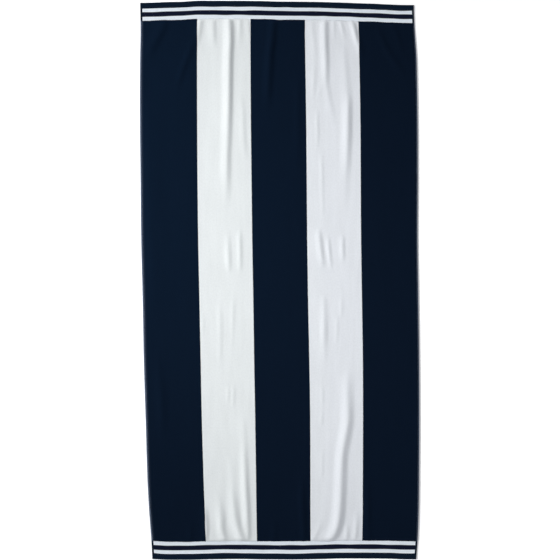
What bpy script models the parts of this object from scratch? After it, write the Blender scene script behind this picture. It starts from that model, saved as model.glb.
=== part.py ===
"""A striped beach towel laid out flat, face up, on a level surface.

Metres, +Z up. The origin is under the middle of the towel, on the surface it lies on. The length runs
along Y with the head end at +Y, and the stripes run from end to end. The towel is one piece of cloth:
cut terry with a flat-woven border of three bands at each end, a double hem across each end and a
narrow one down each side. The pile swells where the tighter borders draw the ends in, and stands up
there in long soft folds, hollow underneath.

The tables give places on the surface in millimetres: x across the towel and y along it.
"""

from collections import namedtuple
from math import cos, hypot, pi

import bmesh
import bpy

MM = 0.001

# The cloth laid straight, in millimetres.
CUT_WIDTH = 800
CUT_LENGTH = 1600
EDGE_STRIPE = 163
INNER_STRIPE = 158
SIDE_HEM = 5
END_HEM = 16.3
OUTER_BAND = 10.8
MIDDLE_BAND = 13.0
INNER_BAND = 11.2
BORDER = END_HEM + OUTER_BAND + MIDDLE_BAND + INNER_BAND

# How thick each part of the cloth is, in millimetres.
PILE_THICK = 3.0
BAND_THICK = 1.5
END_HEM_THICK = 2.7
SIDE_HEM_THICK = 2.4
STEP_RUN = 1.5

# A fold reaches its height this far in from a border, in millimetres. On its left, part of its rise is
# slow and starts some times further out than the flank.
FOLD_RISE = 14
FLANK_BEND = 0.8
SLOW_SHARE = 0.25
SLOW_REACH = 3

# Widest faces, in millimetres: across a dark stripe, across a white one and along the towel.
DARK_FACE = 11
WHITE_FACE = 6.6
SHORTEST_FACE = 9
LONGEST_FACE = 46
FACE_GROWTH = 1.22

# Name, linear colour and roughness of each finish.
FINISHES = (
    ("dark blue cut pile", (0.0045, 0.0100, 0.0260), 0.95),
    ("white cut pile", (0.72, 0.75, 0.78), 0.95),
    ("dark blue flat weave", (0.0070, 0.0125, 0.0270), 0.85),
    ("white flat weave", (0.70, 0.73, 0.77), 0.85),
)

LINES = (
    0,
    EDGE_STRIPE,
    EDGE_STRIPE + INNER_STRIPE,
    EDGE_STRIPE + 2 * INNER_STRIPE,
    EDGE_STRIPE + 3 * INNER_STRIPE,
    CUT_WIDTH,
)

# Where the two side edges and the four lines between stripes lie, from the foot end to the head end.
Section = namedtuple("Section", "y left line_1 line_2 line_3 line_4 right")
SECTIONS = (
    Section(-800, -365.3, -212.0, -65.0, 87.0, 237.0, 390.5),
    Section(-745, -367.8, -213.0, -65.5, 87.0, 237.0, 394.5),
    Section(-659, -374.0, -216.0, -67.0, 86.5, 237.5, 397.5),
    Section(-573, -378.6, -219.5, -68.0, 86.5, 238.0, 399.0),
    Section(-401, -383.8, -224.5, -70.5, 86.0, 238.5, 400.0),
    Section(-229, -389.3, -228.0, -73.5, 83.5, 238.0, 399.0),
    Section(-57, -392.7, -231.5, -76.0, 80.0, 235.5, 397.0),
    Section(115, -397.0, -235.0, -79.0, 77.5, 233.0, 395.0),
    Section(287, -399.1, -237.0, -81.0, 76.0, 232.0, 395.0),
    Section(459, -399.9, -238.0, -83.0, 74.5, 231.0, 394.5),
    Section(631, -399.9, -238.5, -84.0, 72.0, 228.0, 391.5),
    Section(690, -399.4, -238.0, -84.0, 71.0, 226.5, 388.0),
    Section(733, -398.3, -237.5, -84.0, 71.0, 225.5, 385.0),
    Section(760, -399.6, -237.5, -84.0, 71.0, 225.0, 383.5),
    Section(800, -400.0, -238.0, -84.5, 70.5, 223.5, 382.5),
)

# The two hemmed ends: how far across the cloth, then y at the foot and at the head.
Station = namedtuple("Station", "across foot head")
ENDS = (
    Station(0, -798.8, 793.5),
    Station(40, -800.0, 794.4),
    Station(120, -800.0, 796.8),
    Station(163, -799.8, 799.6),
    Station(240, -798.7, 799.5),
    Station(321, -799.5, 799.2),
    Station(400, -800.0, 797.4),
    Station(479, -799.4, 796.8),
    Station(560, -797.4, 795.2),
    Station(637, -797.3, 792.6),
    Station(720, -798.0, 789.4),
    Station(760, -799.6, 787.8),
    Station(800, -799.8, 787.4),
)

# Each fold: its crest as (x, y, height), and how wide its left and right flanks are.
Fold = namedtuple("Fold", "name left right crest")
FOLDS = (
    Fold(
        "long fold at the head of the left white stripe", 25, 18,
        (
            (-147, 750, 4.2), (-145, 730, 4.6), (-144, 712, 4.9), (-144, 680, 5.0), (-146, 640, 5.0),
            (-147, 570, 4.9), (-148, 500, 4.7), (-149, 457, 4.3), (-151, 415, 3.6), (-153, 370, 3.1),
            (-155, 330, 2.9), (-154, 300, 2.3), (-154, 270, 1.2), (-153, 235, 0.4), (-152, 205, 0),
        ),
    ),
    Fold(
        "crease beside it", 18, 13,
        (
            (-114, 540, 0), (-113, 515, 0.6), (-108, 486, 1.0), (-106, 440, 1.2), (-104, 400, 1.2),
            (-101, 371, 0.9), (-97, 340, 0),
        ),
    ),
    Fold(
        "left pucker of the left white stripe", 14, 15,
        ((-228, 750, 2.2), (-231, 725, 2.4), (-235, 703, 2.2), (-240, 682, 1.0), (-243, 662, 0)),
    ),
    Fold(
        "middle pucker of the left white stripe", 26, 13,
        ((-193, 750, 1.7), (-192, 725, 2.0), (-191, 703, 1.8), (-190, 682, 1.0), (-189, 662, 0)),
    ),
    Fold(
        "right pucker of the left white stripe", 10, 13,
        ((-116, 750, 1.4), (-116, 728, 1.5), (-116, 705, 1.0), (-117, 680, 0.3), (-117, 655, 0)),
    ),
    Fold(
        "forked fold at the head of the right white stripe", 19, 15,
        (
            (129, 750, 3.0), (129, 726, 3.4), (130, 700, 3.6), (131, 668, 3.4), (132, 629, 3.0),
            (132, 600, 2.6), (132, 572, 1.8), (135, 545, 1.1), (141, 510, 0.9), (149, 480, 0.8),
            (156, 427, 0),
        ),
    ),
    Fold(
        "corner fold of the right white stripe", 15, 12,
        (
            (200, 750, 1.6), (203, 733, 2.3), (206, 721, 3.2), (210, 712, 3.4), (213, 703, 3.3),
            (217, 688, 2.8), (223, 668, 1.6), (231, 645, 0),
        ),
    ),
    Fold(
        "fold lower in the right white stripe", 25, 18,
        (
            (180, 680, 0), (182, 655, 0.8), (184, 629, 1.1), (188, 572, 1.1), (190, 543, 1.3),
            (193, 514, 2.4), (192, 486, 3.1), (192, 440, 3.2), (191, 400, 2.8), (191, 371, 2.4),
            (189, 342, 1.9), (188, 314, 1.3), (187, 285, 0.7), (185, 235, 0.3), (184, 200, 0),
        ),
    ),
    Fold(
        "slanted fold of the left dark stripe", 30, 17,
        (
            (-325, 750, 2.4), (-333, 732, 2.8), (-342, 708, 3.0), (-353, 690, 2.9), (-363, 673, 2.5),
            (-371, 652, 1.5), (-377, 630, 0),
        ),
    ),
    Fold(
        "long slanted fold of the left dark stripe", 14, 14,
        (
            (-246, 702, 0), (-252, 680, 1.4), (-259, 657, 2.3), (-269, 630, 2.6), (-278, 608, 2.5),
            (-285, 586, 2.1), (-293, 560, 1.0), (-299, 535, 0),
        ),
    ),
    Fold(
        "fold of the middle dark stripe", 18, 17,
        (
            (-17, 750, 3.4), (-20, 732, 4.0), (-22, 715, 4.4), (-24, 686, 4.7), (-28, 658, 4.8),
            (-30, 629, 4.5), (-32, 586, 3.9), (-34, 545, 3.0), (-35, 518, 1.3), (-36, 490, 0),
        ),
    ),
    Fold(
        "corner pucker of the right dark stripe", 10, 12,
        ((316, 750, 1.0), (323, 728, 1.6), (334, 701, 1.6), (344, 672, 1.2), (352, 645, 0)),
    ),
    Fold(
        "slanted fold of the right dark stripe", 16, 12,
        ((279, 725, 0), (288, 701, 1.6), (301, 672, 2.2), (317, 643, 2.2), (339, 614, 2.0), (355, 590, 0)),
    ),
    Fold(
        "pile standing up from the left hem", 26, 70,
        (
            (-376, 520, 0), (-375, 440, 1.1), (-373, 300, 1.8), (-370, 160, 2.0), (-366, 50, 1.9),
            (-362, -60, 1.2), (-358, -160, 0),
        ),
    ),
    Fold(
        "swell lower at the left hem", 26, 24,
        (
            (-352, -190, 0), (-347, -260, 1.4), (-342, -320, 2.4), (-339, -370, 2.4), (-338, -420, 1.4),
            (-340, -470, 0),
        ),
    ),
    Fold(
        "short fold at mid length, outer", 17, 14,
        ((-149, 140, 0), (-149, 105, 0.8), (-148, 72, 1.2), (-148, 55, 1.2), (-148, 22, 0)),
    ),
    Fold(
        "short fold at mid length, inner", 13, 12,
        ((-115, 142, 0), (-115, 115, 1.1), (-114, 70, 1.1), (-114, 26, 0)),
    ),
    Fold(
        "slanted fold at mid length", 18, 13,
        ((109, 145, 0), (112, 122, 1.3), (114, 98, 1.6), (116, 76, 1.6), (119, 58, 1.2), (123, 36, 0)),
    ),
    Fold(
        "fold below mid length", 17, 16,
        (
            (124, -40, 0), (125, -60, 0.8), (126, -85, 1.1), (126, -125, 1.4), (126, -152, 1.6),
            (126, -180, 1.1), (127, -205, 0.7), (127, -245, 0),
        ),
    ),
    Fold(
        "winding fold at the foot of the right white stripe", 27, 21,
        (
            (191, -255, 0), (191, -274, 0.6), (191, -300, 1.4), (191, -345, 2.4), (191, -375, 3.3),
            (191, -405, 3.6), (187, -432, 3.7), (182, -460, 3.7), (177, -489, 3.7), (174, -517, 3.8),
            (172, -560, 3.9), (171, -600, 4.1), (169, -640, 4.3), (166, -675, 4.5), (161, -701, 4.5),
            (154, -722, 4.4), (147, -737, 4.3), (138, -750, 4.1),
        ),
    ),
    Fold(
        "right pucker at the foot of the right white stripe", 13, 12,
        ((218, -665, 0), (219, -690, 1.0), (218, -712, 1.5), (216, -730, 1.4), (213, -750, 1.3)),
    ),
    Fold(
        "middle pucker at the foot of the right white stripe", 10, 13,
        ((190, -695, 0), (191, -712, 1.0), (191, -724, 1.5), (190, -737, 1.4), (188, -750, 1.3)),
    ),
    Fold(
        "left pucker at the foot of the right white stripe", 11, 13,
        (
            (121, -688, 0), (114, -704, 0.7), (108, -717, 1.0), (102, -729, 1.1), (97, -740, 1.1),
            (93, -750, 1.0),
        ),
    ),
    Fold(
        "main fold at the foot of the left white stripe", 20, 15,
        (
            (-106, -385, 0), (-105, -417, 0.5), (-104, -446, 0.7), (-102, -475, 1.1), (-102, -503, 1.9),
            (-102, -532, 2.4), (-101, -560, 2.6), (-100, -590, 2.8), (-98, -625, 3.0), (-96, -665, 3.0),
            (-95, -700, 2.8), (-94, -720, 2.5), (-94, -750, 2.1),
        ),
    ),
    Fold(
        "second fold at the foot of the left white stripe", 18, 16,
        (
            (-138, -520, 0), (-137, -546, 0.7), (-137, -590, 0.9), (-137, -620, 1.4), (-137, -634, 1.9),
            (-135, -655, 2.4), (-134, -680, 2.5), (-132, -695, 2.7), (-128, -710, 2.9), (-124, -722, 3.0),
            (-119, -736, 3.0), (-115, -750, 2.7),
        ),
    ),
    Fold(
        "third fold at the foot of the left white stripe", 18, 18,
        (
            (-179, -595, 0), (-178, -625, 0.6), (-177, -646, 1.1), (-175, -661, 1.7), (-174, -675, 2.2),
            (-172, -689, 2.8), (-171, -704, 3.2), (-170, -718, 3.0), (-166, -731, 2.8), (-160, -750, 2.4),
        ),
    ),
    Fold(
        "outer fold at the foot of the left white stripe", 14, 13,
        (
            (-217, -645, 0), (-217, -662, 1.5), (-216, -682, 2.4), (-214, -697, 2.7), (-213, -712, 2.5),
            (-214, -726, 2.2), (-217, -750, 1.8),
        ),
    ),
    Fold(
        "fold at the foot of the middle dark stripe", 16, 14,
        ((63, -555, 0), (63, -585, 1.3), (63, -615, 2.4), (64, -650, 2.7), (67, -700, 2.5), (70, -750, 1.9)),
    ),
    Fold(
        "pucker at the foot of the middle dark stripe", 13, 12,
        ((-16, -680, 0), (-16, -703, 0.8), (-16, -725, 1.3), (-17, -750, 1.1)),
    ),
    Fold(
        "pucker at the foot of the left dark stripe", 14, 14,
        ((-255, -685, 0), (-256, -710, 1.1), (-257, -735, 1.6), (-258, -750, 1.5)),
    ),
    Fold(
        "fold at the foot of the right dark stripe", 11, 12,
        ((250, -565, 0), (250, -600, 1.2), (251, -650, 1.7), (252, -700, 1.6), (255, -750, 1.1)),
    ),
)


def ease(low, high, value):
    """0 below low, 1 above high, with a soft start and end."""
    part = min(max((value - low) / (high - low), 0), 1)
    return part * part * (3 - 2 * part)


def read(keys, values, at):
    """The height at a place on the smooth curve through rising keys and their values."""
    span = 0
    while span < len(keys) - 2 and at > keys[span + 1]:
        span += 1
    slopes = []
    for knot in (span, span + 1):
        before = max(knot - 1, 0)
        after = min(knot + 1, len(keys) - 1)
        slopes.append((values[after] - values[before]) / (keys[after] - keys[before]))
    width = keys[span + 1] - keys[span]
    part = (at - keys[span]) / width
    rest = 1 - part
    return (
        values[span] * rest * rest * (1 + 2 * part)
        + values[span + 1] * part * part * (1 + 2 * rest)
        + width * part * rest * (slopes[0] * rest - slopes[1] * part)
    )


def from_end(along):
    """How far a place along the cloth is from the nearer hemmed end."""
    return min(along, CUT_LENGTH - along)


def from_side(across):
    """How far a place across the cloth is from the nearer side edge."""
    return min(across, CUT_WIDTH - across)


def laid(across, along):
    """Where a point of the straight cloth comes to lie on the surface, as (x, y)."""
    stations = [station.across for station in ENDS]
    foot = read(stations, [station.foot for station in ENDS], across)
    head = read(stations, [station.head for station in ENDS], across)
    y = foot + (head - foot) * along / CUT_LENGTH
    rows = [section.y for section in SECTIONS]
    stripe = sum(across > line for line in LINES[1:-1])
    near, far = (read(rows, [section[1 + stripe + side] for section in SECTIONS], y) for side in (0, 1))
    part = (across - LINES[stripe]) / (LINES[stripe + 1] - LINES[stripe])
    return near + (far - near) * part, y


def fold_height(fold, x, y):
    """How high one fold lifts the cloth at a place."""
    nearest = None
    for (x0, y0, h0), (x1, y1, h1) in zip(fold.crest, fold.crest[1:]):
        dx, dy = x1 - x0, y1 - y0
        part = min(max(((x - x0) * dx + (y - y0) * dy) / (dx * dx + dy * dy), 0), 1)
        away_x, away_y = x - x0 - part * dx, y - y0 - part * dy
        distance = hypot(away_x, away_y)
        if nearest is None or distance < nearest[0]:
            nearest = (distance, away_x < 0, h0 + (h1 - h0) * part)
    distance, is_left, height = nearest
    flank = fold.left if is_left else fold.right
    quick = cos(pi / 2 * min(distance / flank, 1) ** FLANK_BEND) ** 2
    slow = cos(pi / 2 * min(distance / (fold.left * SLOW_REACH), 1)) ** 2
    return height * (quick + SLOW_SHARE * (slow - quick) if is_left else quick)


def lift(across, along):
    """How far the underside stands off the surface."""
    x, y = laid(across, along)
    rise = ease(BORDER, BORDER + FOLD_RISE, from_end(along))
    return rise * sum(fold_height(fold, x, y) for fold in FOLDS) if rise else 0


def thickness(across, along):
    """How thick the cloth is at a point."""
    if from_end(along) <= END_HEM:
        return END_HEM_THICK
    if from_side(across) <= SIDE_HEM:
        return SIDE_HEM_THICK
    return PILE_THICK if from_end(along) >= BORDER else BAND_THICK


def shared(start, end, widest):
    """Even places from start up to end, without end, no further apart than widest."""
    count = -int(-(end - start) // widest)
    return [start + (end - start) * step / count for step in range(count)]


def columns():
    """Places across the cloth where the mesh has a line of points."""
    places = [0, SIDE_HEM, SIDE_HEM + STEP_RUN]
    for stripe, (start, end) in enumerate(zip(LINES, LINES[1:])):
        widest = WHITE_FACE if stripe % 2 else DARK_FACE
        places += shared(start, end, widest)[1 if stripe == 0 else 0 :]
    places += [CUT_WIDTH - SIDE_HEM - STEP_RUN, CUT_WIDTH - SIDE_HEM, CUT_WIDTH]
    return sorted(places)


def rows():
    """Places along the cloth where the mesh has a line of points, closest at the borders."""
    half = [0, END_HEM, END_HEM + STEP_RUN]
    half += [END_HEM + OUTER_BAND, END_HEM + OUTER_BAND + MIDDLE_BAND]
    half += [BORDER - STEP_RUN, BORDER]
    step = SHORTEST_FACE
    while half[-1] < CUT_LENGTH / 2 - LONGEST_FACE:
        half.append(half[-1] + step)
        step = min(step * FACE_GROWTH, LONGEST_FACE)
    return half + [CUT_LENGTH / 2] + [CUT_LENGTH - place for place in reversed(half)]


def finish_at(across, along):
    """Which of the cloth's finishes a place has, as an index of FINISHES."""
    if from_end(along) < END_HEM or from_side(across) < SIDE_HEM:
        return 2
    if from_end(along) < BORDER:
        into_bands = from_end(along) - END_HEM - OUTER_BAND
        return 2 if 0 <= into_bands < MIDDLE_BAND else 3
    return sum(across > line for line in LINES[1:-1]) % 2


def make_material(name, colour, roughness):
    material = bpy.data.materials.new(name)
    material.use_nodes = True
    shader = material.node_tree.nodes["Principled BSDF"]
    shader.inputs["Base Color"].default_value = (*colour, 1)
    shader.inputs["Roughness"].default_value = roughness
    shader.inputs["Metallic"].default_value = 0
    return material


def make_underside(mesh):
    """The underside as a grid of faces, and the thickness above each of its points."""
    across_places = columns()
    along_places = rows()
    surface = bmesh.new()
    grid = []
    above = []
    for along in along_places:
        line = []
        for across in across_places:
            x, y = laid(across, along)
            line.append(surface.verts.new((x * MM, y * MM, lift(across, along) * MM)))
            above.append(thickness(across, along))
        grid.append(line)
    for row in range(len(grid) - 1):
        for column in range(len(across_places) - 1):
            face = surface.faces.new(
                (
                    grid[row][column],
                    grid[row][column + 1],
                    grid[row + 1][column + 1],
                    grid[row + 1][column],
                )
            )
            face.smooth = True
            face.material_index = finish_at(
                (across_places[column] + across_places[column + 1]) / 2,
                (along_places[row] + along_places[row + 1]) / 2,
            )
    surface.to_mesh(mesh)
    surface.free()
    return above


def make_towel():
    mesh = bpy.data.meshes.new("towel")
    towel = bpy.data.objects.new("towel", mesh)
    bpy.context.scene.collection.objects.link(towel)
    for finish in FINISHES:
        mesh.materials.append(make_material(*finish))
    above = make_underside(mesh)
    group = towel.vertex_groups.new(name="thickness")
    for index, thick in enumerate(above):
        group.add([index], thick / PILE_THICK, "REPLACE")
    solidify = towel.modifiers.new("cloth thickness", "SOLIDIFY")
    solidify.thickness = PILE_THICK * MM
    solidify.offset = 1
    solidify.vertex_group = group.name
    solidify.use_even_offset = True
    return towel


def main():
    for obj in list(bpy.data.objects):
        bpy.data.objects.remove(obj)
    make_towel()


main()
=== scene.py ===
"""A striped cotton beach towel laid out flat, face up: its cloth, hems, pile and sewing.

The cloth is laid from three tables in millimetres: where the lines between its stripes run, how far
out its two ends lie, and where its folds stand.
"""

from math import pi, radians

import bpy
import numpy as np
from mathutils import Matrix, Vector, noise


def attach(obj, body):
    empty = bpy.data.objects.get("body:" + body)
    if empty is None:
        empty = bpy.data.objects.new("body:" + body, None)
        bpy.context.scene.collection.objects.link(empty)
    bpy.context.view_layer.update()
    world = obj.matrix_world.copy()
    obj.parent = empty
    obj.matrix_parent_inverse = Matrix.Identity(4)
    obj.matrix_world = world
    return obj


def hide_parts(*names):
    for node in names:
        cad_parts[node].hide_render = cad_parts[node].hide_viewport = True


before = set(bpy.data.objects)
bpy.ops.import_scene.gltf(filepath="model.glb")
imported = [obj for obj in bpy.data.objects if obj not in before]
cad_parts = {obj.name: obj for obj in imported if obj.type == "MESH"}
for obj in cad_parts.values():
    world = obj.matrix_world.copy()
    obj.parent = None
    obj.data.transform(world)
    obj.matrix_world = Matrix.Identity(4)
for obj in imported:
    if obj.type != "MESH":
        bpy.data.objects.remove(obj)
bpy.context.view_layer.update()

# The camera, the light and the surface. A soft lamp stands to the left of the towel, a little towards
# its head end and low enough to draw out the folds. Pale walls, brightest low down, fill the shade. The
# matt white board under it all glows more away from the towel, where the lamp doesn't reach.
PICTURE_WIDTH = 1.605
LENS = 100
SENSOR = 36
PILE_TOP = 0.003

scene = bpy.context.scene
scene.view_settings.view_transform = "Standard"


def linear(hex_colour):
    """An sRGB hex colour as linear red, green, blue and alpha, by the standard sRGB curve."""
    parts = [int(hex_colour[at : at + 2], 16) / 255 for at in (1, 3, 5)]
    return (*[p / 12.92 if p <= 0.04045 else ((p + 0.055) / 1.055) ** 2.4 for p in parts], 1)


def add_node(tree, kind, values=None, links=None, **settings):
    """A new node, with its settings, the values of its sockets and what is linked into them."""
    made = tree.nodes.new(kind)
    for name, value in settings.items():
        setattr(made, name, value)
    for socket, value in (values or {}).items():
        made.inputs[socket].default_value = value
    for socket, source in (links or {}).items():
        tree.links.new(source, made.inputs[socket])
    return made


def ramp(tree, value, low, high, at_low=0.0, at_high=1.0):
    """One number below low, another above high, and an even change between them."""
    made = add_node(
        tree, "ShaderNodeMapRange",
        {"From Min": low, "From Max": high, "To Min": at_low, "To Max": at_high}, {"Value": value},
    )
    return made.outputs[0]


def new_material(name, **values):
    """A material, its node tree and its Principled shader with the given socket values."""
    material = bpy.data.materials.new(name)
    material.use_nodes = True
    shader = material.node_tree.nodes["Principled BSDF"]
    for socket, value in values.items():
        shader.inputs[socket.replace("_", " ")].default_value = value
    return material, material.node_tree, shader


# The camera looks straight down, from where its lens takes in the picture's width at the pile's top.
camera = bpy.data.objects.new("camera", bpy.data.cameras.new("camera"))
camera.data.lens = LENS
camera.data.sensor_width = SENSOR
camera.location = (0, 0, PILE_TOP + PICTURE_WIDTH * LENS / SENSOR)
scene.collection.objects.link(camera)
scene.camera = camera

# The light of the walls goes by how steeply they are looked up at, from 0, level, to 1, overhead.
WALL_WHITE = "#F4F8FF"
WALL_LIGHT = 0.24
WALL_FOOT_LIGHT = 1.0
WALL_FOOT = 0.1
WALL_FADE = 0.3
scene.world = bpy.data.worlds.new("pale walls")
scene.world.use_nodes = True
tree = scene.world.node_tree
walls = tree.nodes["Background"]
walls.inputs["Color"].default_value = linear(WALL_WHITE)
towards = add_node(tree, "ShaderNodeTexCoord").outputs["Generated"]
height = add_node(tree, "ShaderNodeSeparateXYZ", links={0: towards}).outputs["Z"]
wall_light = ramp(tree, height, WALL_FOOT, WALL_FADE, WALL_FOOT_LIGHT, WALL_LIGHT)
tree.links.new(wall_light, walls.inputs["Strength"])

LAMP_PLACE = Vector((-5.8, 1.6, 3.6))
LAMP_AIM = Vector((0.09, -0.03, 0))
LAMP_SIZE = 1.8
LAMP_POWER = 29.8
LAMP_SPREAD = radians(32)
lamp = bpy.data.objects.new("soft lamp", bpy.data.lights.new("soft lamp", "AREA"))
lamp.data.shape = "DISK"
lamp.data.size = LAMP_SIZE
lamp.data.energy = LAMP_POWER
lamp.data.spread = LAMP_SPREAD
lamp.location = LAMP_PLACE
lamp.rotation_euler = (LAMP_AIM - LAMP_PLACE).to_track_quat("-Z", "Y").to_euler()
scene.collection.objects.link(lamp)

# The board's glow rises from its near to its far value between two distances from the towel's middle.
FLOOR_WHITE = "#FAFAFA"
FLOOR_SIZE = 24
FLOOR_DROP = 0.0004
NEAR_GLOW = 0.24
FAR_GLOW = 0.8
NEAR_FLOOR = 0.9
FAR_FLOOR = 2.3
bpy.ops.object.select_all(action="DESELECT")
bpy.ops.mesh.primitive_plane_add(size=FLOOR_SIZE, location=(0, 0, 0))
floor = bpy.context.object
floor.name = "floor"
floor.data.transform(floor.matrix_world)
for corner in floor.data.vertices:
    corner.co.z -= FLOOR_DROP
board, tree, shader = new_material(
    "matt white board", Base_Color=linear(FLOOR_WHITE), Roughness=0.9, Specular_IOR_Level=0.1,
    Emission_Color=(1, 1, 1, 1),
)
board_place = add_node(tree, "ShaderNodeTexCoord").outputs["Object"]
away = add_node(tree, "ShaderNodeVectorMath", links={0: board_place}, operation="LENGTH").outputs["Value"]
glow = ramp(tree, away, NEAR_FLOOR, FAR_FLOOR, NEAR_GLOW, FAR_GLOW)
tree.links.new(glow, shader.inputs["Emission Strength"])
floor.data.materials.append(board)

# The cloth. One length of cotton terry, its face loops cut to a velvety pile, woven with a flat
# border of three bands at each end. The ends are turned in a double hem and the sides in a narrow
# one, and the pile, wider than its tight borders, stands up beside them in long soft folds.
MM = 0.001
CUT_WIDTH = 800
CUT_LENGTH = 1600
STRIPES = 5
EDGE_STRIPE = 163
INNER_STRIPE = 158
SIDE_HEM = 5
BORDER_SIDE_HEM = 6
END_HEM = 17.2
OUTER_BAND = 10.4
MIDDLE_BAND = 13.3
INNER_BAND = 11.5
BORDER = END_HEM + OUTER_BAND + MIDDLE_BAND + INNER_BAND
LINES = [0, *(EDGE_STRIPE + stripe * INNER_STRIPE for stripe in range(STRIPES - 1)), CUT_WIDTH]

# From foot to head: y, then x of the left edge, of the lines between stripes and of the right edge.
SECTIONS = (
    (-800, -366.0, -212.2, -65.0, 87.0, 236.4, 390.5),
    (-745, -369.0, -213.4, -65.5, 87.0, 236.5, 394.5),
    (-659, -375.4, -216.2, -67.0, 86.5, 237.7, 397.5),
    (-573, -380.2, -219.5, -68.0, 86.5, 238.0, 398.5),
    (-401, -385.4, -224.5, -70.5, 86.0, 238.5, 399.5),
    (-229, -390.8, -228.0, -73.5, 83.5, 238.0, 398.8),
    (-57, -394.0, -231.5, -76.0, 80.0, 235.5, 396.7),
    (115, -398.2, -235.0, -79.0, 77.5, 233.0, 394.4),
    (287, -400.0, -237.0, -81.0, 76.0, 232.0, 395.0),
    (459, -401.9, -238.0, -83.0, 74.5, 231.0, 394.5),
    (631, -401.5, -238.5, -84.0, 72.0, 228.0, 391.5),
    (690, -400.1, -238.0, -84.0, 71.0, 226.5, 388.0),
    (733, -400.0, -237.5, -84.0, 71.0, 225.5, 385.4),
    (760, -400.5, -237.5, -84.0, 71.0, 225.0, 384.2),
    (800, -401.0, -238.0, -84.5, 70.5, 223.5, 383.5),
)

# Along both ends: how far across the cloth, then y at the foot and at the head.
ENDS = (
    (0, -800.0, 794.7),
    (40, -802.2, 795.6),
    (80, -802.4, 797.4),
    (120, -802.2, 798.0),
    (163, -801.0, 800.8),
    (200, -800.4, 800.9),
    (240, -799.9, 800.7),
    (280, -800.0, 800.7),
    (321, -800.7, 800.4),
    (360, -801.0, 799.8),
    (400, -801.3, 798.6),
    (440, -801.2, 798.4),
    (479, -800.6, 798.0),
    (520, -799.8, 797.5),
    (560, -798.6, 796.4),
    (600, -798.3, 795.3),
    (637, -798.5, 793.8),
    (680, -798.7, 792.6),
    (720, -799.2, 790.6),
    (760, -800.8, 789.0),
    (800, -801.0, 788.6),
)

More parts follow.
